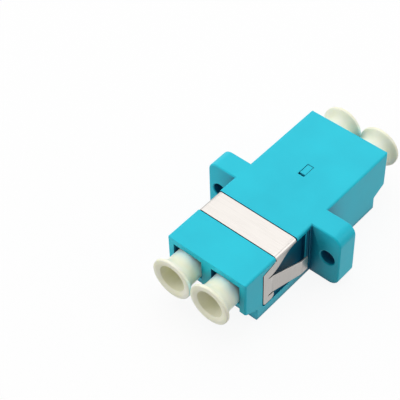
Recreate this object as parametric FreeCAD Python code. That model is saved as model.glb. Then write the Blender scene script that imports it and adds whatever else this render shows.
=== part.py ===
import FreeCAD, Part
import math
import os

# Duplex LC fibre adapter with a simplex-SC panel footprint, in millimetres.
# X runs across the two ports, Y along the ports, Z up. The part rests on its slotted
# face. The origin is the middle of that face, half way between the dust caps' rims.
# Its front end (-Y) is the end with the panel clip.

# ---------------------------------------------------------------- driving dimensions
port_pitch = 6.25
port_width = 4.6
keyway_width = 2.3
side_wall = 1.025                 # between a port and the body's side
smooth_wall = 0.95                # above the ports
slotted_wall = 0.85               # below their keyways
web_thickness = 1.3               # each half's cross wall, either side of the middle

body_length = 29.7
body_height = 9.2
body_edge_radius = 0.3
slotted_wall_setback = 2.35       # the slotted wall stops short of the side walls
slant_low = 2.2                   # height where the side walls' end slant starts
slant_high = 3.4                  # height where it reaches the full body length
ramp_length = 1.7                 # lead-in ramps for the plug's latch ears

flange_width = 22.1
flange_thickness = 3.3
flange_corner_radius = 1.5
flange_edge_chamfer = 0.15
flange_hole_edge = 1.95           # hole centre from the flange's end
flange_hole_diameter = 2.2
flange_hole_countersink = 0.15

ear_slot_width = 0.75
ear_slot_length = 2.85
ear_slot_offset = 1.84            # slot centre from its port's centre
ear_slot_inset = 2.425            # slot end from the end of the slotted wall

window_width = 1.0
window_length = 2.2
window_centre = 5.3               # from the middle of the adapter
catch_setback = 0.05              # the catches stop just below the outer faces

sleeve_inner = 1.25
sleeve_wall = 0.175
sleeve_length = 11.4
sleeve_slit = 0.35
nose_wall = 0.65
nose_lip_length = 0.65            # keeps the alignment sleeve in its nose
nose_mouth_flare = 0.25

clip_thickness = 0.25
clip_front = 8.8                  # front edge of the band, measured from the middle
clip_back = 4.8
clip_bend_radius = 0.6
neck_drop = 0.8                   # the neck's shoulder below the smooth face
neck_sweep = 2.8                  # level runs of the neck's curved lower edge
wing_front = 11.3
wing_back = 9.2                   # back edge of the short plate below the tongue
wing_drop = 1.35                  # the wing's front shoulder below the smooth face
wing_bottom = 1.8
wing_corner = 0.35
strip_height = 1.0                # of the short plate below the tongue
tongue_root = 10.2
tongue_drop = 1.5                 # the tongue's top edge below the wing's shoulder
slit_width = 0.3                  # cut round the tongue
tongue_flat = 0.5
tongue_bend = 14.0                # degrees outward
tongue_slope_length = 4.5
tongue_lip_bend = 14.0            # degrees back, so that the free end lies level
tongue_lip_length = 1.1
tongue_bend_radius = 1.0
tongue_end_height = 2.35          # the tongue tapers to its free end
tongue_end_rise = 0.2             # its lower edge rises this much on the way

pocket_depth = 0.35               # behind the tongue, below the clip's own recess
pocket_back = 2.9                 # a rib is left between the pocket and the groove
groove_near = 1.9                 # shallow groove beside the flange
groove_far = 2.65
groove_depth = 0.3

cap_stand_out = 3.2               # how far a dust cap stands out of its port
cap_rim_thickness = 0.45
cap_rim_chamfer = 0.12
cap_flare_length = 1.4
cap_lip = 1.05                    # width of the ring round the mouth
cap_mouth_dish = 0.2
cap_funnel_length = 2.4
cap_wall = 0.45
cap_partition = 0.9
cap_nose_room = 1.7               # between the nose's tip and the partition
cap_lead_chamfer = 0.3

# ------------------------------------------------------------------ named clearances
recess_gap = 0.15                 # dark line round the clip in its recess
insert_gap = 0.05                 # sliding fit of the retainer in the housing
sleeve_gap = 0.05                 # the alignment sleeves float in their noses
lip_gap = 0.05                    # ferrule in the mouth of a nose
nose_gap = 0.05                   # dust cap over the nose
cap_gap = 0.05                    # dust cap in its port
cap_rim_gap = 0.1                 # between neighbouring dust caps
cap_end_gap = 0.7                 # between a dust cap and the cross wall
overrun = 1.0                     # how far a cutting tool passes beyond a face

# ------------------------------------------------------------------------ sizes used
port_half = port_width / 2
port_axis_height = body_height - smooth_wall - port_half
port_low = port_axis_height - port_half
port_high = port_axis_height + port_half
cavity_half = port_pitch / 2 + port_half
keyway_outer = port_pitch / 2 + keyway_width / 2
divider_half = port_pitch / 2 - port_half
foot_half = port_pitch / 2 - keyway_width / 2
body_width = 2 * (cavity_half + side_wall)
half_width = body_width / 2
half_length = body_length / 2
half_slotted = half_length - slotted_wall_setback
ear_slot_end = half_slotted - ear_slot_inset
flange_hole_x = flange_width / 2 - flange_hole_edge

sleeve_outer = sleeve_inner + 2 * sleeve_wall
sleeve_seat = sleeve_outer + 2 * sleeve_gap
seat_end = sleeve_length / 2 + sleeve_gap
nose_diameter = sleeve_seat + 2 * nose_wall
nose_length = seat_end + nose_lip_length

clip_plane = half_width - clip_thickness
band_floor = body_height - clip_thickness
inner_bend = clip_bend_radius - clip_thickness
neck_shoulder = body_height - neck_drop
wing_shoulder = body_height - wing_drop
strip_top = wing_bottom + strip_height
tongue_low = strip_top + slit_width
tongue_high = wing_shoulder - tongue_drop
port_sides = (-1, 1)


def vector(x, y, z):
    return FreeCAD.Vector(x, y, z)


def box(x_range, y_range, z_range):
    """Box between pairs of limits."""
    size = [high - low for low, high in (x_range, y_range, z_range)]
    return Part.makeBox(*size, vector(x_range[0], y_range[0], z_range[0]))


def prism_x(outline, x_range):
    """Prism along X from an outline of (y, z) points."""
    points = [vector(x_range[0], y, z) for y, z in outline]
    face = Part.Face(Part.makePolygon(points + points[:1]))
    return face.extrude(vector(x_range[1] - x_range[0], 0, 0))


def rod(x, z, diameter, y_range):
    """Cylinder along Y."""
    length = y_range[1] - y_range[0]
    return Part.makeCylinder(diameter / 2, length, vector(x, y_range[0], z), vector(0, 1, 0))


def cone(x, z, diameters, y_range):
    """Cone along Y between two diameters."""
    length = y_range[1] - y_range[0]
    radii = [diameter / 2 for diameter in diameters]
    return Part.makeCone(*radii, length, vector(x, y_range[0], z), vector(0, 1, 0))


def mirrored(shape, normal):
    return shape.mirror(vector(0, 0, 0), normal)


def joined(shapes):
    """One solid from touching shapes."""
    return shapes[0].multiFuse(shapes[1:]).removeSplitter()


def edges_where(shape, test):
    """Straight edges whose two end points pass a test."""
    found = []
    for edge in shape.Edges:
        if len(edge.Vertexes) == 2:
            start, end = [vertex.Point for vertex in edge.Vertexes]
            if test(start, end):
                found.append(edge)
    return found


# --------------------------------------------------------------------------- housing
def end_profile(front_limit, back_limit, low, high):
    """Side view of a wall whose ends slant out from the slotted wall."""
    outline = [(-half_slotted, low), (half_slotted, low), (half_slotted, slant_low),
               (half_length, slant_high), (half_length, high), (-half_length, high),
               (-half_length, slant_high), (-half_slotted, slant_low)]
    wall = prism_x(outline, (-half_width, half_width))
    reach = (-half_width - overrun, half_width + overrun)
    return wall.common(box(reach, (front_limit, back_limit), (low, high)))


def rounded_body():
    """Solid block of the body with its long edges and end corners rounded."""
    body = end_profile(-half_length, half_length, 0, body_height)

    def is_outer(start, end):
        on_side = abs(abs(start.x) - half_width) < 1e-6 and abs(start.x - end.x) < 1e-6
        along = abs(start.z - end.z) < 1e-6 and start.z in (0, body_height)
        upright = abs(abs(start.y) - half_length) < 1e-6 and abs(start.y - end.y) < 1e-6
        return on_side and (along or upright)

    return body.makeFillet(body_edge_radius, edges_where(body, is_outer))


def flange():
    """Plate through the middle of the body, flush with both of its big faces."""
    half = flange_width / 2
    depth = flange_thickness / 2
    plate = box((-half, half), (-depth, depth), (0, body_height))
    corners = edges_where(plate, lambda a, b: abs(a.x - b.x) + abs(a.z - b.z) < 1e-6)
    plate = plate.makeFillet(flange_corner_radius, corners)
    rims = [edge for edge in plate.Edges
            if abs(abs(edge.CenterOfMass.y) - depth) < 1e-6 and abs(edge.CenterOfMass.x) > half_width]
    plate = plate.makeChamfer(flange_edge_chamfer, rims)
    for side in port_sides:
        x = side * flange_hole_x
        z = body_height / 2
        sunk = flange_hole_diameter + 2 * flange_hole_countersink
        plate = plate.cut(rod(x, z, flange_hole_diameter, (-depth, depth)))
        for end in (-1, 1):
            sink = cone(x, z, (flange_hole_diameter, sunk),
                        (depth - flange_hole_countersink, depth))
            plate = plate.cut(sink if end > 0 else mirrored(sink, vector(0, 1, 0)))
    return plate


def cavity():
    """Open space of both ports, right through: two squares and their keyways."""
    reach = (-half_length - overrun, half_length + overrun)
    ports = box((-cavity_half, cavity_half), reach, (port_low, port_high))
    keyways = box((-keyway_outer, keyway_outer), reach, (slotted_wall, port_low))
    mouths = []
    for end in (-1, 1):
        span = sorted((end * half_slotted, end * reach[1]))
        mouths.append(box((-cavity_half, cavity_half), span, (-overrun, port_low)))
    return joined([ports, keyways] + mouths)


def divider(gap):
    """Wall between the rear ports on a foot that carries their inner latch ledges."""
    web = end_profile(0, half_length, slotted_wall + gap, port_high - gap)
    web = web.common(box((-divider_half, divider_half), (0, half_length), (0, body_height)))
    foot = box((-foot_half, foot_half), (0, half_slotted), (slotted_wall + gap, port_low))
    return joined([web, foot])


def ear_slots():
    """Slots for the latch ears of four plugs, through the slotted wall and ledges."""
    tools = []
    for side in port_sides:
        for hand in (-1, 1):
            middle = side * port_pitch / 2 + hand * ear_slot_offset
            x_range = (middle - ear_slot_width / 2, middle + ear_slot_width / 2)
            for end in (-1, 1):
                y_range = sorted((end * (ear_slot_end - ear_slot_length), end * ear_slot_end))
                tools.append(box(x_range, y_range, (-overrun, port_low + overrun / 2)))
    return Part.makeCompound(tools)


def latch_ramps():
    """Slopes that lead the latch ears on to the ledges, at all four ports."""
    outline = [(half_slotted + overrun, port_low), (half_slotted - ramp_length, port_low),
               (half_slotted, slant_low), (half_slotted + overrun, slant_low)]
    tools = []
    for side in port_sides:
        middle = side * port_pitch / 2
        ramp = prism_x(outline, (middle - port_half, middle + port_half))
        tools += [ramp, mirrored(ramp, vector(0, 1, 0))]
    return Part.makeCompound(tools)


def noses(gap):
    """Two sleeve-holder tubes behind the rear ports, on their cross wall."""
    wall = [box((-cavity_half + gap, cavity_half - gap), (0, web_thickness),
                (port_low + gap, port_high - gap)),
            box((-keyway_outer + gap, keyway_outer - gap), (0, web_thickness),
                (slotted_wall + gap, port_low + gap))]
    for side in port_sides:
        wall.append(rod(side * port_pitch / 2, port_axis_height, nose_diameter, (0, nose_length)))
    return wall


def nose_bores():
    """Seats of the alignment sleeves, each with a flared lip at the nose's tip."""
    tools = []
    throat = sleeve_inner + 2 * lip_gap
    mouth = throat + 2 * nose_mouth_flare
    for side in port_sides:
        x = side * port_pitch / 2
        seat = rod(x, port_axis_height, sleeve_seat, (-overrun, seat_end))
        lip = cone(x, port_axis_height, (throat, mouth), (seat_end, nose_length))
        tools += [seat, lip]
    return Part.makeCompound(tools)


def rear_half(gap):
    """Cross wall, noses and divider of the rear ports."""
    half = joined(noses(gap) + [divider(gap)])
    return half.cut(nose_bores()).cut(ear_slots()).cut(latch_ramps())


def band_recess():
    """Recess round the top corners for the clip's band, with rounded inner corners."""
    reach = half_width + overrun
    y_range = (-clip_front - recess_gap, -clip_back + recess_gap)
    around = box((-reach, reach), y_range, (wing_shoulder, body_height + overrun))
    core = box((-clip_plane, clip_plane), y_range, (0, band_floor))
    corners = edges_where(core, lambda a, b: abs(a.y - b.y) > 1e-6 and a.z > wing_shoulder)
    return around.cut(core.makeFillet(inner_bend, corners))


def side_recess():
    """Cuts in the right-hand side for the clip's wing, its tongue and the flange groove."""
    outer = half_width + overrun
    front = -wing_front - recess_gap
    low = wing_bottom - recess_gap
    high = neck_shoulder + recess_gap
    seat = prism_x([(front, low + wing_corner), (front + wing_corner, low), (-pocket_back, low),
                    (-pocket_back, high), (-clip_front - recess_gap, high),
                    (front, wing_shoulder + recess_gap)], (clip_plane, outer))
    floor = tongue_low - slit_width
    pocket = prism_x([(-tongue_root, floor), (-pocket_back, floor), (-pocket_back, high),
                      (-clip_front, high), (-tongue_root, tongue_high + slit_width)],
                     (clip_plane - pocket_depth, outer))
    groove = box((half_width - groove_depth, outer), (-groove_far, -groove_near), (low, high))
    return joined([seat, pocket]), groove


def windows():
    """Holes for the retainer's catches in both big faces, over the rear divider."""
    y_range = (window_centre - window_length / 2, window_centre + window_length / 2)
    return box((-window_width / 2, window_width / 2), y_range, (-overrun, body_height + overrun))


def housing():
    """One-piece moulding: shell, flange, front divider and front noses."""
    shell = joined([rounded_body(), flange()])
    shell = shell.cut(cavity()).cut(windows())
    front = mirrored(rear_half(0), vector(0, 1, 0))
    shell = joined([shell, front])
    shell = shell.cut(ear_slots()).cut(latch_ramps()).cut(band_recess())
    for tool in side_recess():
        shell = shell.cut(tool).cut(mirrored(tool, vector(1, 0, 0)))
    return shell


# ---------------------------------------------------------------- pieces in the ports
def sleeve_retainer():
    """Insert pushed in from the rear, held by a catch at its top and bottom edges."""
    half = rear_half(insert_gap)
    x_range = (-window_width / 2 + insert_gap, window_width / 2 - insert_gap)
    near = window_centre - window_length / 2 + insert_gap
    far = window_centre + window_length / 2 - insert_gap
    peak = far - window_length / 4
    inside = port_high - 2 * insert_gap
    outside = body_height - catch_setback
    top = prism_x([(near, inside), (far, inside), (far, outside), (peak, outside),
                   (near, port_high + insert_gap)], x_range)
    inside = slotted_wall + 2 * insert_gap
    bottom = prism_x([(near, inside), (far, inside), (far, catch_setback), (peak, catch_setback),
                      (near, slotted_wall - insert_gap)], x_range)
    return joined([half, top, bottom])


def alignment_sleeve(side):
    """Split ceramic tube that lines up two ferrules end to end."""
    x = side * port_pitch / 2
    y_range = (-sleeve_length / 2, sleeve_length / 2)
    tube = rod(x, port_axis_height, sleeve_outer, y_range)
    tube = tube.cut(rod(x, port_axis_height, sleeve_inner, y_range))
    slit = box((x - sleeve_slit / 2, x + sleeve_slit / 2), y_range,
               (port_axis_height, port_axis_height + sleeve_outer))
    return tube.cut(slit)


def dust_cap(side, end):
    """Moulded plug: a neck over the nose, a trumpet rim and a blind funnel mouth."""
    neck = port_half - cap_gap
    rim = (port_pitch - cap_rim_gap) / 2
    mouth = rim - cap_lip
    bore = nose_diameter / 2 + nose_gap
    cavity_radius = neck - cap_wall
    inner_end = web_thickness + cap_end_gap
    bore_end = nose_length + cap_nose_room
    cavity_end = bore_end + cap_partition
    outer_end = half_length + cap_stand_out
    rim_start = outer_end - cap_rim_thickness
    flare_start = rim_start - cap_flare_length
    mouth_end = outer_end - cap_mouth_dish
    outline = [(rim, rim_start), (rim, outer_end - cap_rim_chamfer),
               (rim - cap_rim_chamfer, outer_end), ((rim + mouth) / 2, outer_end),
               (mouth, mouth_end), (cavity_radius, mouth_end - cap_funnel_length),
               (cavity_radius, cavity_end), (0, cavity_end), (0, bore_end), (bore, bore_end),
               (bore, inner_end), (neck - cap_lead_chamfer, inner_end),
               (neck, inner_end + cap_lead_chamfer), (neck, flare_start)]
    points = [vector(radius, distance, 0) for radius, distance in outline]
    edges = [Part.makeLine(start, finish) for start, finish in zip(points, points[1:])]
    flare = Part.BezierCurve()
    flare.setPoles([points[-1], vector(neck, (flare_start + rim_start) / 2, 0), points[0]])
    section = Part.Face(Part.Wire(edges + [flare.toShape()]))
    cap = section.revolve(vector(0, 0, 0), vector(0, 1, 0), 360)
    if end < 0:
        cap = mirrored(cap, vector(0, 1, 0))
    cap.translate(vector(side * port_pitch / 2, 0, port_axis_height))
    return cap


# ---------------------------------------------------------------------------- clip
def wing_outline():
    """Side view of the clip: band, shouldered wing, neck and the plate below the tongue."""
    edge = -tongue_root
    slit_tip = edge - slit_width / 2
    corners = [(-clip_back, body_height), (-clip_front, body_height), (-clip_front, neck_shoulder),
               (-wing_front, wing_shoulder), (-wing_front, wing_bottom + wing_corner),
               (-wing_front + wing_corner, wing_bottom), (-wing_back - wing_corner, wing_bottom),
               (-wing_back, wing_bottom + wing_corner), (-wing_back, strip_top), (edge, strip_top),
               (slit_tip, tongue_low - slit_width / 2), (edge, tongue_low), (edge, tongue_high),
               (slit_tip, tongue_high + slit_width / 2)]
    points = [vector(0, y, z) for y, z in corners]
    edges = [Part.makeLine(start, finish) for start, finish in zip(points, points[1:])]
    root = points[-1]
    top = vector(0, -clip_back, band_floor - inner_bend)
    sweep = vector(0, neck_sweep, 0)
    neck = Part.BezierCurve()
    neck.setPoles([root, root + sweep, top - sweep, top])
    edges += [neck.toShape(), Part.makeLine(top, points[0])]
    return Part.Face(Part.Wire(edges))


def bent_strip(start, moves, thickness):
    """Face of a sheet edge: straight runs and tangent bends from a start point in XY.

    Each move is (length, turn in degrees); a turn follows the run, towards +X if positive.
    """
    heading = 0.0
    position = FreeCAD.Vector(start)
    sides = {-1: [], 1: []}

    def across(angle):
        return vector(math.cos(math.radians(angle)), -math.sin(math.radians(angle)), 0)

    def along(angle):
        return vector(math.sin(math.radians(angle)), math.cos(math.radians(angle)), 0)

    for length, turn in moves:
        finish = position + along(heading) * length
        for hand, edges in sides.items():
            shift = across(heading) * (hand * thickness / 2)
            edges.append(Part.makeLine(position + shift, finish + shift))
        position = finish
        if turn:
            toward = 1 if turn > 0 else -1
            centre = position + across(heading) * (toward * tongue_bend_radius)
            halfway = heading + turn / 2
            for hand, edges in sides.items():
                radius = tongue_bend_radius - toward * hand * thickness / 2
                spots = [centre - across(angle) * (toward * radius)
                         for angle in (heading, halfway, heading + turn)]
                edges.append(Part.Arc(*spots).toShape())
            heading += turn
            position = centre - across(heading) * (toward * tongue_bend_radius)
    ends = [Part.makeLine(sides[-1][k].Vertexes[v].Point, sides[1][k].Vertexes[v].Point)
            for k, v in ((0, 0), (-1, -1))]
    return Part.Face(Part.Wire(Part.__sortEdges__(sides[-1] + sides[1] + ends)))


def tongue():
    """Right-hand spring tongue: bent outward, level at its end and tapering towards it."""
    start = vector(half_width - clip_thickness / 2, -tongue_root, tongue_low)
    moves = [(tongue_flat, tongue_bend), (tongue_slope_length, -tongue_lip_bend),
             (tongue_lip_length, 0)]
    strip = bent_strip(start, moves, clip_thickness)
    end = strip.BoundBox.YMax
    end_low = tongue_low + tongue_end_rise
    taper = prism_x([(-tongue_root, tongue_low), (end, end_low),
                     (end, end_low + tongue_end_height), (-tongue_root, tongue_high)],
                    (0, flange_width))
    return strip.extrude(vector(0, 0, tongue_high - tongue_low)).common(taper)


def panel_clip():
    """Stainless spring clip folded over the body, with a tongue on each side."""
    y_range = (-wing_front - overrun, -clip_back + overrun)
    outer = box((-half_width, half_width), y_range, (0, body_height))
    inner = box((-clip_plane, clip_plane), y_range, (-overrun, band_floor))

    def is_top(start, end):
        return abs(start.y - end.y) > 1e-6 and start.z > wing_shoulder

    outer = outer.makeFillet(clip_bend_radius, edges_where(outer, is_top))
    inner = inner.makeFillet(inner_bend, edges_where(inner, is_top))
    outline = wing_outline().extrude(vector(body_width + 2 * overrun, 0, 0))
    outline.translate(vector(-half_width - overrun, 0, 0))
    sheet = outer.cut(inner).common(outline)
    right = tongue()
    return joined([sheet, right, mirrored(right, vector(1, 0, 0))])


# ---------------------------------------------------------------------------- export
def build():
    """Every sub-part by name."""
    parts = {"housing": housing(), "sleeve_retainer": sleeve_retainer(),
             "panel_clip": panel_clip()}
    for side, side_name in zip(port_sides, ("left", "right")):
        parts[f"alignment_sleeve_{side_name}"] = alignment_sleeve(side)
        for end, end_name in ((-1, "front"), (1, "rear")):
            parts[f"dust_cap_{end_name}_{side_name}"] = dust_cap(side, end)
    return parts


os.makedirs("parts", exist_ok=True)
for name, shape in build().items():
    solid = shape.Solids[0]
    solid.exportStep(f"parts/{name}.step")
    bounds = solid.BoundBox
    print(f"{name}: {len(shape.Solids)} solid, valid {solid.isValid()}, {solid.Volume:.2f} mm3, "
          f"x {bounds.XMin:.2f} to {bounds.XMax:.2f}, y {bounds.YMin:.2f} to {bounds.YMax:.2f}, "
          f"z {bounds.ZMin:.2f} to {bounds.ZMax:.2f}")
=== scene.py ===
# %% [markdown]
# # A fibre adapter in Blender
# This lesson dresses a small telecoms part: an aqua plastic housing with two ports at
# each end, a stainless spring clip folded over it, and four soft dust caps. The solids
# come from a CAD model and fix every size. Blender adds rounded edges, finishes and light.

# %% Load the CAD frame
import bmesh
import bpy
import math
from mathutils import Matrix, Vector


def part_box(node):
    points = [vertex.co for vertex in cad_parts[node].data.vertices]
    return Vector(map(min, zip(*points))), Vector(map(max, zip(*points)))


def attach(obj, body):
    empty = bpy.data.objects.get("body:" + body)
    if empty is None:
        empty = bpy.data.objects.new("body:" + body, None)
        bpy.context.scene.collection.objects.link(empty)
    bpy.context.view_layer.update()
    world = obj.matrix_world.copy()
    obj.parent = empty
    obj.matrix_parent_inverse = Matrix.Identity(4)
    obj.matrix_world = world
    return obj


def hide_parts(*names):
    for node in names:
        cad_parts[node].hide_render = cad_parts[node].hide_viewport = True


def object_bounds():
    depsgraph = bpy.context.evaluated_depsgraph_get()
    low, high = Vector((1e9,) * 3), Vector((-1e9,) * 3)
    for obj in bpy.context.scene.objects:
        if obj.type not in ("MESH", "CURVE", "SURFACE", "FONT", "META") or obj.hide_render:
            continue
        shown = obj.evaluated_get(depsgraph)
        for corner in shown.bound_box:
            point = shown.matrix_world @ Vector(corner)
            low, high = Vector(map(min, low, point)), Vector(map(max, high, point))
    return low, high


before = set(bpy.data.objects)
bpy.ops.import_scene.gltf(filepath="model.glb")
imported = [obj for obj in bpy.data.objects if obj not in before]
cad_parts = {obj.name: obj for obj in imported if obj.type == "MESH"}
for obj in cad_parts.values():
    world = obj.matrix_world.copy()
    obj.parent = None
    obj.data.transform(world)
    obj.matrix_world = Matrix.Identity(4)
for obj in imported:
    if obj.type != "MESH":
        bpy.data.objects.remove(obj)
cad_box = [list(corner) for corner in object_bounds()]
MM = 0.001
print("CAD box in mm:", [[round(value / MM, 2) for value in corner] for corner in cad_box])

# %% [markdown]
# Blender mixes light in linear values, while a maker's colour chart gives sRGB hex codes.
# One function does that change, so each finish below can be written as its hex code. The
# second helper adds a node, sets it up and wires its inputs. It serves both materials and
# Geometry Nodes, so no node type needs a function of its own. The third starts a material
# whose coordinates count millimetres, so a noise scale of 7 means seven grains to the
# millimetre.

# %% Colour and node helpers
def paint(code):
    """Linear RGBA of an sRGB hex code."""
    channels = [int(code[start:start + 2], 16) / 255 for start in (1, 3, 5)]
    return [value / 12.92 if value <= 0.04045 else ((value + 0.055) / 1.055) ** 2.4
            for value in channels] + [1.0]


def add_node(tree, kind, inputs=None, **settings):
    """New node with its settings; inputs hold a value or another node's output."""
    node = tree.nodes.new(kind)
    for name, value in settings.items():
        setattr(node, name, value)
    for socket, value in (inputs or {}).items():
        if isinstance(value, bpy.types.NodeSocket):
            tree.links.new(value, node.inputs[socket])
        else:
            node.inputs[socket].default_value = value
    return node


def new_material(name):
    """Empty material, its tree and its coordinates in millimetres."""
    material = bpy.data.materials.new(name)
    material.use_nodes = True
    tree = material.node_tree
    tree.nodes.clear()
    place = add_node(tree, "ShaderNodeTexCoord")
    scaled = add_node(tree, "ShaderNodeMapping",
                      {"Vector": place.outputs["Object"], "Scale": (1 / MM, 1 / MM, 1 / MM)})
    return material, tree, scaled.outputs["Vector"]


print("aqua as linear light:", [round(value, 3) for value in paint("#17CEE4")])

# %% [markdown]
# The housing and the sleeve retainer are injection-moulded PBT, a hard plastic with a
# satin skin. Real moulds are spark-eroded, which leaves a grain of about 0.1 mm, and the
# melt leaves faint clouds as it flows. A painted colour alone would look like paper, so
# the grain goes into the bump, and the clouds into the colour and the roughness.
# Corners and gaps get painted shade: there the colour is mixed towards a dark aqua, where
# real shade falls. Two Ambient Occlusion nodes find them: one looks a few millimetres
# round each point for this piece's own corners, and one looks a millimetre round it for
# gaps between pieces. Both give 1 in the open and fall towards 0 in a hollow.

# %% Moulded aqua PBT
CORNER_REACH, GAP_REACH = 4.0 * MM, 1.2 * MM
CORNER_DEEPEST, GAP_DEEPEST, OPEN_FACE = 0.4, 0.2, 0.97
PAINTED_SHADE_AQUA = "#00567A"
AQUA_CLOUDS_PER_MM, AQUA_GRAINS_PER_MM = 0.16, 7.0


def aqua_moulding(name, darker, lighter, shine):
    """Aqua plastic between two hex codes, with painted shade in corners and gaps."""
    material, tree, place = new_material(name)
    clouds = add_node(tree, "ShaderNodeTexNoise",
                      {"Vector": place, "Scale": AQUA_CLOUDS_PER_MM, "Detail": 2.0})
    colour = add_node(tree, "ShaderNodeValToRGB", {"Fac": clouds.outputs["Fac"]})
    for stop, position, code in zip(colour.color_ramp.elements, (0.3, 0.7), (darker, lighter)):
        stop.position, stop.color = position, paint(code)
    corner = add_node(tree, "ShaderNodeAmbientOcclusion", {"Distance": CORNER_REACH},
                      samples=8, only_local=True)
    gap = add_node(tree, "ShaderNodeAmbientOcclusion", {"Distance": GAP_REACH}, samples=8)
    openness = [add_node(tree, "ShaderNodeMapRange", {"Value": hollow.outputs["AO"],
                                                      "From Min": deepest, "From Max": OPEN_FACE})
                for hollow, deepest in ((corner, CORNER_DEEPEST), (gap, GAP_DEEPEST))]
    open_face = add_node(tree, "ShaderNodeMath", {0: openness[0].outputs["Result"],
                                                  1: openness[1].outputs["Result"]},
                         operation="MULTIPLY")
    # Painted shade: the colour mixes towards dark aqua where the occlusion nodes find a corner or
    # gap.
    shade_painted = add_node(tree, "ShaderNodeMix", {"Factor": open_face.outputs["Value"],
                                             "A": paint(PAINTED_SHADE_AQUA), "B": colour.outputs["Color"]},
                     data_type="RGBA")
    grain = add_node(tree, "ShaderNodeTexNoise",
                     {"Vector": place, "Scale": AQUA_GRAINS_PER_MM, "Detail": 3.0})
    satin = add_node(tree, "ShaderNodeMapRange",
                     {"Value": clouds.outputs["Fac"], "To Min": 0.36, "To Max": 0.46})
    relief = add_node(tree, "ShaderNodeBump", {"Height": grain.outputs["Fac"],
                                               "Strength": 0.25, "Distance": 0.004 * MM})
    skin = add_node(tree, "ShaderNodeBsdfPrincipled",
                    {"Base Color": shade_painted.outputs["Result"],
                     "Roughness": satin.outputs["Result"],
                     "Normal": relief.outputs["Normal"], "IOR": 1.55,
                     "Specular IOR Level": shine})
    add_node(tree, "ShaderNodeOutputMaterial", {"Surface": skin.outputs["BSDF"]})
    return material


aqua = aqua_moulding("moulded_aqua_pbt", "#0FC6DD", "#17CEE4", 0.22)
# Darker, less shiny copy of the aqua for the recess under the clip: painted shade.
recess_painted_shade_aqua = aqua_moulding("recess_painted_shade_pbt", "#08647C", "#0A6C86", 0.05)
print("made", aqua.name, "and", recess_painted_shade_aqua.name)

# %% [markdown]
# The clip is cold-rolled stainless strip, 0.25 mm thick. Rolling leaves fine lines along
# the strip, which here run over the top and down both sides, so the pattern is squeezed
# along Y and stretched along X and Z. The lines change the roughness and lift the surface
# by a few thousandths of a millimetre. Fourteen to the millimetre is coarser than the
# real ones, so that they show.

# %% Rolled stainless strip
ROLLED_LINES_PER_MM = (0.25, 14.0, 0.25)


def rolled_strip():
    """Bright strip with rolling lines that run over the top and down the sides."""
    material, tree, place = new_material("rolled_stainless_strip")
    along = add_node(tree, "ShaderNodeMapping", {"Vector": place, "Scale": ROLLED_LINES_PER_MM})
    lines = add_node(tree, "ShaderNodeTexNoise",
                     {"Vector": along.outputs["Vector"], "Scale": 1.0, "Detail": 4.0})
    tone = add_node(tree, "ShaderNodeValToRGB", {"Fac": lines.outputs["Fac"]})
    for stop, position, code in zip(tone.color_ramp.elements, (0.35, 0.65), ("#B0ACA8", "#B6B2AE")):
        stop.position, stop.color = position, paint(code)
    gloss = add_node(tree, "ShaderNodeMapRange",
                     {"Value": lines.outputs["Fac"], "To Min": 0.25, "To Max": 0.32})
    relief = add_node(tree, "ShaderNodeBump", {"Height": lines.outputs["Fac"],
                                               "Strength": 0.1, "Distance": 0.006 * MM})
    skin = add_node(tree, "ShaderNodeBsdfPrincipled",
                    {"Base Color": tone.outputs["Color"], "Metallic": 1.0,
                     "Roughness": gloss.outputs["Result"], "Normal": relief.outputs["Normal"]})
    add_node(tree, "ShaderNodeOutputMaterial", {"Surface": skin.outputs["BSDF"]})
    return material


steel = rolled_strip()
print("made", steel.name)

# %% [markdown]
# The blank was cut off a wider strip, which sheared and tore its front and back edges.
# They are rough and dull. Their dark tone is partly that and partly painted shade from the
# gap round the clip, a dark line beside the bright faces. Fine pits stand for the torn grain.

# %% Sheared steel edge
PITS_PER_MM = 9.0


def sheared_edge():
    """Dull, pitted steel for the cut edges of the strip, darkened further as painted shade."""
    material, tree, place = new_material("sheared_stainless_edge_and_painted_shade")
    pits = add_node(tree, "ShaderNodeTexNoise",
                    {"Vector": place, "Scale": PITS_PER_MM, "Detail": 3.0})
    tone = add_node(tree, "ShaderNodeValToRGB", {"Fac": pits.outputs["Fac"]})
    # Dark tone: partly the dull torn steel, partly painted shade of the gap beside the edges.
    for stop, position, code in zip(tone.color_ramp.elements, (0.35, 0.65), ("#50555A", "#666B70")):
        stop.position, stop.color = position, paint(code)
    dull = add_node(tree, "ShaderNodeMapRange",
                    {"Value": pits.outputs["Fac"], "To Min": 0.5, "To Max": 0.65})
    relief = add_node(tree, "ShaderNodeBump", {"Height": pits.outputs["Fac"],
                                               "Strength": 0.3, "Distance": 0.01 * MM})
    skin = add_node(tree, "ShaderNodeBsdfPrincipled",
                    {"Base Color": tone.outputs["Color"], "Metallic": 1.0,
                     "Roughness": dull.outputs["Result"], "Normal": relief.outputs["Normal"]})
    add_node(tree, "ShaderNodeOutputMaterial", {"Surface": skin.outputs["BSDF"]})
    return material


sheared_and_shaded_steel = sheared_edge()
print("made", sheared_and_shaded_steel.name)

# %% [markdown]
# The dust caps are low-density polyethylene, soft, waxy and a little see-through. Light
# enters the skin and comes out nearby, which rounds off the shadows inside the mouths.
# Subsurface scattering gives that, over a depth of about half a millimetre. Beside the
# port the colour is mixed towards aqua, a painted reflection of light from the aqua
# walls. Of two Ambient Occlusion nodes, one sees this cap alone and one sees its
# neighbours too, so what differs is the neighbours' share.

# %% Soft ivory polyethylene
WAX_CLOUDS_PER_MM, WAX_GRAINS_PER_MM = 0.35, 5.0
NEIGHBOUR_REACH = 1.6 * MM
NEIGHBOUR_STARTS, NEIGHBOUR_FULL = 0.03, 0.4
PAINTED_AQUA_BOUNCE = "#E2FFFA"


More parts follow.
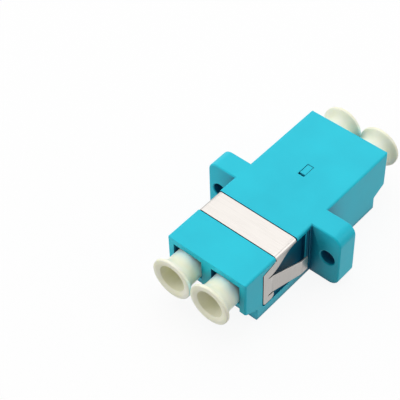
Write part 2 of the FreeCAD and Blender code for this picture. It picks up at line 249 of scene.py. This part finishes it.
def soft_polyethylene():
    """Waxy ivory with painted aqua bounce light where another piece is close."""
    material, tree, place = new_material("soft_ivory_polyethylene")
    clouds = add_node(tree, "ShaderNodeTexNoise",
                      {"Vector": place, "Scale": WAX_CLOUDS_PER_MM, "Detail": 2.0})
    colour = add_node(tree, "ShaderNodeValToRGB", {"Fac": clouds.outputs["Fac"]})
    for stop, position, code in zip(colour.color_ramp.elements, (0.3, 0.7), ("#FDFCDE", "#FFFEE9")):
        stop.position, stop.color = position, paint(code)
    hollows = [add_node(tree, "ShaderNodeAmbientOcclusion", {"Distance": NEIGHBOUR_REACH},
                        samples=8, only_local=own) for own in (True, False)]
    beside = add_node(tree, "ShaderNodeMath", {0: hollows[0].outputs["AO"],
                                               1: hollows[1].outputs["AO"]}, operation="SUBTRACT")
    near = add_node(tree, "ShaderNodeMapRange",
                    {"Value": beside.outputs["Value"], "From Min": NEIGHBOUR_STARTS,
                     "From Max": NEIGHBOUR_FULL})
    # Painted bounce light: aqua is mixed in where a neighbour is close.
    bounce_painted = add_node(tree, "ShaderNodeMix", {"Factor": near.outputs["Result"],
                                              "A": colour.outputs["Color"], "B": paint(PAINTED_AQUA_BOUNCE)},
                      data_type="RGBA")
    grain = add_node(tree, "ShaderNodeTexNoise",
                     {"Vector": place, "Scale": WAX_GRAINS_PER_MM, "Detail": 2.0})
    relief = add_node(tree, "ShaderNodeBump", {"Height": grain.outputs["Fac"],
                                               "Strength": 0.2, "Distance": 0.005 * MM})
    skin = add_node(tree, "ShaderNodeBsdfPrincipled",
                    {"Base Color": bounce_painted.outputs["Result"], "Roughness": 0.42, "IOR": 1.51,
                     "Subsurface Weight": 0.25, "Subsurface Radius": (1.0, 0.9, 0.55),
                     "Subsurface Scale": 0.5 * MM, "Normal": relief.outputs["Normal"]})
    add_node(tree, "ShaderNodeOutputMaterial", {"Surface": skin.outputs["BSDF"]})
    return material


ivory = soft_polyethylene()
print("made", ivory.name)

# %% [markdown]
# The alignment sleeves are ground zirconia, a dense white ceramic with a high refractive
# index, so it shines more than plastic. Grinding leaves hair-fine rings.

# %% Ground zirconia
GRINDING_RINGS_PER_MM = (0.3, 14.0, 0.3)


def ground_zirconia():
    """Glossy white ceramic with fine rings round its axis."""
    material, tree, place = new_material("ground_zirconia")
    around = add_node(tree, "ShaderNodeMapping", {"Vector": place, "Scale": GRINDING_RINGS_PER_MM})
    rings = add_node(tree, "ShaderNodeTexNoise", {"Vector": around.outputs["Vector"], "Scale": 1.0})
    gloss = add_node(tree, "ShaderNodeMapRange",
                     {"Value": rings.outputs["Fac"], "To Min": 0.12, "To Max": 0.22})
    skin = add_node(tree, "ShaderNodeBsdfPrincipled",
                    {"Base Color": paint("#F5F1E6"), "Roughness": gloss.outputs["Result"],
                     "IOR": 2.15})
    add_node(tree, "ShaderNodeOutputMaterial", {"Surface": skin.outputs["BSDF"]})
    return material


zirconia = ground_zirconia()
print("made", zirconia.name)

# %% [markdown]
# A CAD solid arrives with knife-sharp edges. A real moulding or stamping has none, and
# its thin bright edge lines are what makes it look solid. So each rigid piece is a copy of
# its CAD mesh, with the loose triangles merged, the flat faces joined up again and the
# edges bevelled. Very short edges lie on curves already, and bevelling them would
# tangle the mesh, so the bevel weight leaves them out. They are marked sharp instead,
# which keeps the flat faces beside them evenly shaded.

# %% Edge softening
MERGE_REACH = 0.0001 * MM
FLAT_ANGLE = math.radians(0.5)
SHARP_ANGLE = math.radians(28)
SHORTEST_BEVELLED = 0.12 * MM


def plain_mesh(piece):
    """The same piece, with its modifiers applied to a new mesh."""
    graph = bpy.context.evaluated_depsgraph_get()
    mesh = bpy.data.meshes.new_from_object(piece.evaluated_get(graph))
    piece.modifiers.clear()
    piece.data = mesh
    return piece


def softened(name, node, width, finish, reshape=None):
    """Copy of a CAD node with its sharp edges bevelled, after an optional change of form."""
    shape = bmesh.new()
    shape.from_mesh(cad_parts[node].data)
    bmesh.ops.remove_doubles(shape, verts=shape.verts, dist=MERGE_REACH)
    if reshape:
        reshape(shape)
    bmesh.ops.dissolve_limit(shape, angle_limit=FLAT_ANGLE, verts=shape.verts,
                             edges=shape.edges)
    weights = shape.edges.layers.float.new("bevel_weight_edge")
    for edge in shape.edges:
        sharp = edge.calc_face_angle(0) > SHARP_ANGLE
        long = edge.calc_length() > SHORTEST_BEVELLED
        edge[weights] = 1.0 if sharp and long else 0.0
        edge.smooth = long or not sharp
    for face in shape.faces:
        face.smooth = True
    mesh = bpy.data.meshes.new(name)
    shape.to_mesh(mesh)
    shape.free()
    piece = bpy.data.objects.new(name, mesh)
    bpy.context.scene.collection.objects.link(piece)
    rounding = piece.modifiers.new("rounding", "BEVEL")
    rounding.width = width
    rounding.segments = 2
    rounding.limit_method = "WEIGHT"
    rounding.use_clamp_overlap = False
    shading = piece.modifiers.new("shading", "WEIGHTED_NORMAL")
    shading.keep_sharp = True
    plain_mesh(piece)
    piece.data.materials.clear()
    piece.data.materials.append(finish)
    return piece


print("edges over", round(math.degrees(SHARP_ANGLE)), "degrees are bevelled")

# %% [markdown]
# The retainer snaps in behind two catches, one in the window of each big face. Their
# lead-in ramps are short on the real part, so that the catches fill most of the windows.
# The copy's corners on the catches' outer faces move forward while the far ends stay,
# which is simpler than modelling the catches again.

# %% Housing, retainer and clip
HOUSING_ROUNDING, RETAINER_ROUNDING, CLIP_ROUNDING = 0.06 * MM, 0.04 * MM, 0.03 * MM
CATCH_MIDDLE, CATCH_GROWTH = 6.0 * MM, 1.2 * MM
ON_FACE = 0.001 * MM


def level_catches(shape):
    """Shorten the catches' lead-in, so that they fill most of their windows."""
    low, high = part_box("sleeve_retainer")
    for corner in shape.verts:
        on_catch = min(abs(corner.co.z - low.z), abs(corner.co.z - high.z)) < ON_FACE
        if on_catch and corner.co.y < CATCH_MIDDLE:
            corner.co.y -= CATCH_GROWTH


housing = softened("housing_shell", "housing", HOUSING_ROUNDING, aqua)
retainer = softened("retainer_insert", "sleeve_retainer", RETAINER_ROUNDING, aqua,
                    level_catches)
clip = softened("spring_clip", "panel_clip", CLIP_ROUNDING, steel)
for piece, node, slot in ((housing, "housing", "aqua_moulding"),
                          (retainer, "sleeve_retainer", "aqua_moulding"),
                          (clip, "panel_clip", "spring_steel")):
    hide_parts(node)
    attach(piece, "adapter")
    print(piece.name, len(piece.data.polygons), "faces")

# %% [markdown]
# The clip lies in a shallow recess with a pocket behind each tongue. Little light gets in
# under the clip, so it shows as a dark outline round the steel, and its floors and walls
# get a darker aqua copy: painted shade.
# A second material slot on the same mesh keeps the housing in one piece. A face belongs
# to the recess when its middle lies below the body's skin and inside the clip's outline.

# %% Recess under the clip
BODY_HALF = 6.45 * MM
SKIN, BAND_FLOOR, POCKET_FLOOR = 0.05 * MM, 0.3 * MM, 0.65 * MM
BAND_START, BAND_END = -8.98 * MM, -4.62 * MM
POCKET_END = -2.7 * MM
CLIP_MARGIN = 0.2 * MM
body_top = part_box("housing")[1].z
clip_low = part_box("panel_clip")[0]
housing.data.materials.append(recess_painted_shade_aqua)
# Faces in the recess get slot 1, the painted shade.
for face in housing.data.polygons:
    side, along, height = abs(face.center.x), face.center.y, face.center.z
    in_wing = (SKIN < BODY_HALF - side < POCKET_FLOOR and
               clip_low.y - CLIP_MARGIN < along < POCKET_END and
               clip_low.z - CLIP_MARGIN < height < body_top - POCKET_FLOOR)
    in_band = (SKIN < body_top - height < BAND_FLOOR and side < BODY_HALF and
               BAND_START < along < BAND_END)
    face.material_index = 1 if in_wing or in_band else 0
print("faces in the recess:", sum(face.material_index for face in housing.data.polygons))

# %% [markdown]
# The strip's broad faces look up on the band and sideways on the wings, and its tongues
# lean out by less than 30 degrees. So a face that looks mostly along Y is a sheared edge.
# The tongue's long edges were burnished by its punch, and stay bright.

# %% Sheared edges of the clip
EDGE_TURN = 0.6
# The cut edges get the dark steel, which is partly painted shade.
clip.data.materials.append(sheared_and_shaded_steel)
for face in clip.data.polygons:
    face.material_index = 1 if abs(face.normal.y) > EDGE_TURN else 0
print("faces on the sheared edges:", sum(face.material_index for face in clip.data.polygons))

# %% [markdown]
# A dust cap is a turned shape: a neck, a trumpet flare, a rim with a dished ring and a
# blind funnel. All four are the same, so one Geometry Nodes tree makes them. Its outline
# is a closed row of corners, each with a radius, a distance along the port and a
# rounding. Fillet Curve rounds the corners and Curve to Mesh turns the outline. The
# alignment sleeves come from the same recipe, with a path that stops short of a circle.

# %% Tree for turned pieces
TURNING_RADIUS = 1.0 * MM
FILLET_STEPS, SLIT_STEPS, ROUND_STEPS = 8, 48, 72
WELD_REACH = 0.0005 * MM


def turned_tree(name, sizes, corners, slit=0.0):
    """Tree that turns an outline about the port's axis.

    sizes are the names of its inputs, and each corner picks three of them: its radius,
    its distance and its rounding. slit is the angle left open at the top.
    """
    tree = bpy.data.node_groups.new(name, "GeometryNodeTree")
    tree.interface.new_socket("Geometry", in_out="OUTPUT", socket_type="NodeSocketGeometry")
    for title in sizes:
        tree.interface.new_socket(title, in_out="INPUT", socket_type="NodeSocketFloat")
    for title, kind in (("Port", "NodeSocketVector"), ("Facing", "NodeSocketRotation"),
                        ("Finish", "NodeSocketMaterial")):
        tree.interface.new_socket(title, in_out="INPUT", socket_type=kind)
    given = add_node(tree, "NodeGroupInput").outputs
    index = add_node(tree, "GeometryNodeInputIndex").outputs["Index"]
    places = add_node(tree, "GeometryNodeIndexSwitch", {"Index": index}, data_type="VECTOR")
    roundings = add_node(tree, "GeometryNodeIndexSwitch", {"Index": index}, data_type="FLOAT")
    for number, (radius, distance, rounding) in enumerate(corners):
        if number > 1:
            places.index_switch_items.new()
            roundings.index_switch_items.new()
        corner = add_node(tree, "ShaderNodeCombineXYZ", {"X": given[radius], "Y": given[distance]})
        tree.links.new(corner.outputs["Vector"], places.inputs[str(number)])
        tree.links.new(given[rounding], roundings.inputs[str(number)])
    row = add_node(tree, "GeometryNodeMeshLine", {"Count": len(corners)})
    shaped = add_node(tree, "GeometryNodeSetPosition",
                      {"Geometry": row.outputs["Mesh"], "Position": places.outputs["Output"]})
    line = add_node(tree, "GeometryNodeMeshToCurve", {"Mesh": shaped.outputs["Geometry"]})
    closed = add_node(tree, "GeometryNodeSetSplineCyclic",
                      {"Geometry": line.outputs["Curve"], "Cyclic": True})
    rounded = add_node(tree, "GeometryNodeFilletCurve",
                       {"Curve": closed.outputs["Geometry"], "Radius": roundings.outputs["Output"],
                        "Count": FILLET_STEPS, "Limit Radius": True}, mode="POLY")
    outline = add_node(tree, "GeometryNodeTransform", {"Geometry": rounded.outputs["Curve"],
                                                       "Translation": (-TURNING_RADIUS, 0, 0)})
    if slit:
        path = add_node(tree, "GeometryNodeCurveArc",
                        {"Resolution": SLIT_STEPS, "Radius": TURNING_RADIUS,
                         "Start Angle": (math.pi + slit) / 2, "Sweep Angle": math.tau - slit})
    else:
        path = add_node(tree, "GeometryNodeCurvePrimitiveCircle",
                        {"Resolution": ROUND_STEPS, "Radius": TURNING_RADIUS})
    turned = add_node(tree, "GeometryNodeCurveToMesh",
                      {"Curve": path.outputs["Curve"], "Profile Curve": outline.outputs["Geometry"],
                       "Fill Caps": bool(slit)})
    merged = add_node(tree, "GeometryNodeMergeByDistance",
                      {"Geometry": turned.outputs["Mesh"], "Distance": WELD_REACH})
    placed = add_node(tree, "GeometryNodeTransform",
                      {"Geometry": merged.outputs["Geometry"], "Translation": given["Port"],
                       "Rotation": given["Facing"]})
    smooth = add_node(tree, "GeometryNodeSetShadeSmooth", {"Geometry": placed.outputs["Geometry"]})
    real = add_node(tree, "GeometryNodeRealizeInstances", {"Geometry": smooth.outputs["Geometry"]})
    dressed = add_node(tree, "GeometryNodeSetMaterial",
                       {"Geometry": real.outputs["Geometry"], "Material": given["Finish"]})
    add_node(tree, "NodeGroupOutput", {"Geometry": dressed.outputs["Geometry"]})
    return tree


def turned_piece(name, tree, values):
    """Plain mesh object from a turned tree with these input values."""
    piece = bpy.data.objects.new(name, bpy.data.meshes.new(name))
    bpy.context.scene.collection.objects.link(piece)
    turning = piece.modifiers.new("turning", "NODES")
    turning.node_group = tree
    for socket in tree.interface.items_tree:
        if socket.in_out == "INPUT":
            turning[socket.identifier] = values[socket.name]
    shading = piece.modifiers.new("shading", "WEIGHTED_NORMAL")
    shading.keep_sharp = False
    return plain_mesh(piece)


print("turning radius in mm:", TURNING_RADIUS / MM)

# %% [markdown]
# The sizes that another piece fixes are read from the CAD node's box: the cap's two ends,
# its rim and the axis of its port. The rest are the cap's own, and four of them count
# inwards from its outer end. Each cap is a mesh of its own, because each one pulls out of
# its port by itself.

# %% Dust caps
CAP = {"Axis": 0.0, "Bore radius": 1.55 * MM, "Neck radius": 2.25 * MM,
       "Mouth radius": 2.02 * MM, "Ring radius": 2.56 * MM, "Cavity radius": 1.8 * MM,
       "Bore end": 8.1 * MM, "Cavity end": 9.0 * MM, "Crisp": 0.06 * MM, "Soft": 0.13 * MM,
       "Lead-in": 0.3 * MM, "Trumpet": 1.6 * MM, "Funnel": 2.0 * MM}
CAP_CORNERS = [
    ("Bore radius", "Inner end", "Crisp"), ("Neck radius", "Inner end", "Lead-in"),
    ("Neck radius", "Flare corner", "Trumpet"), ("Rim radius", "Rim back", "Soft"),
    ("Rim radius", "Outer end", "Soft"), ("Ring radius", "Outer end", "Soft"),
    ("Mouth radius", "Dish", "Soft"), ("Cavity radius", "Funnel end", "Funnel"),
    ("Cavity radius", "Cavity end", "Lead-in"), ("Axis", "Cavity end", "Axis"),
    ("Axis", "Bore end", "Axis"), ("Bore radius", "Bore end", "Crisp")]
CAP_DEPTHS = {"Rim back": 0.45 * MM, "Flare corner": 1.15 * MM, "Dish": 0.2 * MM,
              "Funnel end": 2.6 * MM}
CAP_MEASURED = ["Inner end", "Outer end", "Rim radius"] + list(CAP_DEPTHS)
cap_tree = turned_tree("Dust cap", list(CAP) + CAP_MEASURED, CAP_CORNERS)
for end in ("front", "rear"):
    for hand in ("left", "right"):
        body = f"dust_cap_{end}_{hand}"
        low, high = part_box(body)
        ends = sorted((abs(low.y), abs(high.y)))
        sizes = dict(CAP)
        sizes["Inner end"], sizes["Outer end"] = ends
        sizes["Rim radius"] = (high.z - low.z) / 2
        sizes.update((title, ends[1] - depth) for title, depth in CAP_DEPTHS.items())
        sizes["Port"] = ((low.x + high.x) / 2, 0.0, (low.z + high.z) / 2)
        sizes["Facing"] = (math.pi / 2 if end == "rear" else -math.pi / 2, 0.0, 0.0)
        sizes["Finish"] = ivory
        cap = turned_piece(f"cap_{end}_{hand}", cap_tree, sizes)
        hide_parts(body)
        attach(cap, body)
        print(cap.name, len(cap.data.polygons), "faces")

# %% [markdown]
# Deep in each pair of ports a split ceramic sleeve lines the two ferrules up. It is ground
# on its outside, inside and ends, and its slit lets it spring round them. Dust caps hide
# it at rest, so it needs a true shape and finish for when a cap is drawn. The slit is at
# the top and takes the top off the sleeve's box, so its axis is found from the bottom.

# %% Alignment sleeves
SLEEVE = {"Bore radius": 0.625 * MM, "Outer radius": 0.8 * MM, "Ground edge": 0.03 * MM}
SLEEVE_CORNERS = [
    ("Bore radius", "Near end", "Ground edge"), ("Outer radius", "Near end", "Ground edge"),
    ("Outer radius", "Far end", "Ground edge"), ("Bore radius", "Far end", "Ground edge")]
SLIT_WIDTH = 0.35 * MM
SLEEVE_SLIT = 2 * math.asin(SLIT_WIDTH / (SLEEVE["Bore radius"] + SLEEVE["Outer radius"]))
sleeve_tree = turned_tree("Split sleeve", list(SLEEVE) + ["Near end", "Far end"],
                          SLEEVE_CORNERS, SLEEVE_SLIT)
for hand in ("left", "right"):
    node = f"alignment_sleeve_{hand}"
    low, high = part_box(node)
    sizes = dict(SLEEVE)
    sizes["Near end"], sizes["Far end"] = low.y, high.y
    sizes["Port"] = ((low.x + high.x) / 2, 0.0, low.z + SLEEVE["Outer radius"])
    sizes["Facing"] = (math.pi / 2, 0.0, 0.0)
    sizes["Finish"] = zirconia
    sleeve = turned_piece(f"sleeve_{hand}", sleeve_tree, sizes)
    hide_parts(node)
    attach(sleeve, "adapter")
    print(sleeve.name, len(sleeve.data.polygons), "faces")

# %% [markdown]
# The studio is a sheet of white paper under a faint sky, with four soft panels. The
# largest stands behind the object and lights its top and its two rear sides. A small one
# overhead evens out the top, and one at each side keeps the clip's wings and the port
# end readable. The paper sends part of this back up under the flange and the caps. It
# shows white to the camera and in reflections, from Light Path, while enough of its own
# shading is kept for a faint shadow.

# %% Paper floor
def seen_directly(tree):
    """1 where a camera, mirror or see-through ray looks, and 0 for light on a surface."""
    rays = add_node(tree, "ShaderNodeLightPath").outputs
    first = add_node(tree, "ShaderNodeMath",
                     {0: rays["Is Camera Ray"], 1: rays["Is Glossy Ray"]}, operation="MAXIMUM")
    both = add_node(tree, "ShaderNodeMath",
                    {0: first.outputs["Value"], 1: rays["Is Transmission Ray"]},
                    operation="MAXIMUM")
    return both.outputs["Value"]


FLOOR_HALF, FLOOR_DROP = 600 * MM, 0.02 * MM
PAPER_BOUNCE = paint("#BCBCBC")
PAPER_GLOW = 0.9
corners = [(-FLOOR_HALF, -FLOOR_HALF), (FLOOR_HALF, -FLOOR_HALF), (FLOOR_HALF, FLOOR_HALF),
           (-FLOOR_HALF, FLOOR_HALF)]
paper_mesh = bpy.data.meshes.new("paper")
paper_mesh.from_pydata([(x, y, cad_box[0][2] - FLOOR_DROP) for x, y in corners], [], [(0, 1, 2, 3)])
paper = bpy.data.objects.new("paper", paper_mesh)
bpy.context.scene.collection.objects.link(paper)
white, tree, _ = new_material("white_paper")
seen = seen_directly(tree)
tone = add_node(tree, "ShaderNodeMix", {"Factor": seen, "A": PAPER_BOUNCE, "B": paint("#FFFFFF")},
                data_type="RGBA")
matt = add_node(tree, "ShaderNodeBsdfDiffuse", {"Color": tone.outputs["Result"]})
glow = add_node(tree, "ShaderNodeEmission", {"Color": paint("#FFFFFF"), "Strength": 1.0})
share = add_node(tree, "ShaderNodeMath", {0: seen, 1: PAPER_GLOW}, operation="MULTIPLY")
mixed = add_node(tree, "ShaderNodeMixShader", {0: share.outputs["Value"], 1: matt.outputs["BSDF"],
                                               2: glow.outputs["Emission"]})
add_node(tree, "ShaderNodeOutputMaterial", {"Surface": mixed.outputs["Shader"]})
paper.data.materials.append(white)
print("paper at mm:", round(paper_mesh.vertices[0].co.z / MM, 2))

# %% [markdown]
# The sky lights hollows that no panel reaches, and stays faint so that the panels give
# the faces their form. Each panel is listed with its place in millimetres, the length of
# its side and its power in watts, and is turned to face the object.

# %% Sky and panels
SKY_LIGHT = 0.2
PANELS = (("back_panel", (-228, 245, 371), 780, 1.9), ("top_panel", (0, 0, 450), 430, 0.54),
          ("left_panel", (-310, -400, 130), 350, 1.15), ("right_panel", (375, 225, 250), 350, 0.6))
sky = bpy.data.worlds.new("sky")
bpy.context.scene.world = sky
sky.use_nodes = True
tree = sky.node_tree
tree.nodes.clear()
strength = add_node(tree, "ShaderNodeMapRange", {"Value": seen_directly(tree), "To Min": SKY_LIGHT,
                                                 "To Max": 1.0})
backdrop = add_node(tree, "ShaderNodeBackground", {"Color": paint("#FFFFFF"),
                                                   "Strength": strength.outputs["Result"]})
add_node(tree, "ShaderNodeOutputWorld", {"Surface": backdrop.outputs["Background"]})

for name, place, size, power in PANELS:
    panel = bpy.data.lights.new(name, "AREA")
    panel.size = size * MM
    panel.energy = power
    lamp = bpy.data.objects.new(name, panel)
    bpy.context.scene.collection.objects.link(lamp)
    lamp.location = Vector(place) * MM
    lamp.rotation_euler = (-lamp.location).to_track_quat("-Z", "Y").to_euler()
print("panels:", [name for name, *_ in PANELS])

# %% [markdown]
# The camera stands 17 cm away with a long lens, so the adapter narrows a little towards
# its far end, as it does to the eye at that distance. Its place is given by the point
# that it looks at, two angles and a small roll.

# %% Camera
VIEW_AZIMUTH, VIEW_ELEVATION, VIEW_ROLL = 42.93, 48.0, -2.25
VIEW_DISTANCE = 170.0 * MM
VIEW_TARGET = Vector((-10.08, -4.61, 4.6)) * MM
FOCAL_LENGTH, SENSOR_WIDTH = 113.7, 36.0
NEAREST_SEEN, FARTHEST_SEEN = 10 * MM, 3000 * MM
lens = bpy.data.cameras.new("camera")
lens.lens = FOCAL_LENGTH
lens.sensor_width = SENSOR_WIDTH
camera = bpy.data.objects.new("camera", lens)
bpy.context.scene.collection.objects.link(camera)
turn, lift = math.radians(VIEW_AZIMUTH), math.radians(VIEW_ELEVATION)
back = Vector((math.sin(turn) * math.cos(lift), -math.cos(turn) * math.cos(lift), math.sin(lift)))
facing = (-back).to_track_quat("-Z", "Y").to_matrix().to_4x4()
roll = Matrix.Rotation(math.radians(VIEW_ROLL), 4, "Z")
camera.matrix_world = Matrix.Translation(VIEW_TARGET + back * VIEW_DISTANCE) @ facing @ roll
lens.clip_start, lens.clip_end = NEAREST_SEEN, FARTHEST_SEEN
bpy.context.scene.camera = camera
bpy.context.scene.view_settings.view_transform = "Standard"
print("camera at mm:", [round(value / MM, 1) for value in camera.matrix_world.translation])
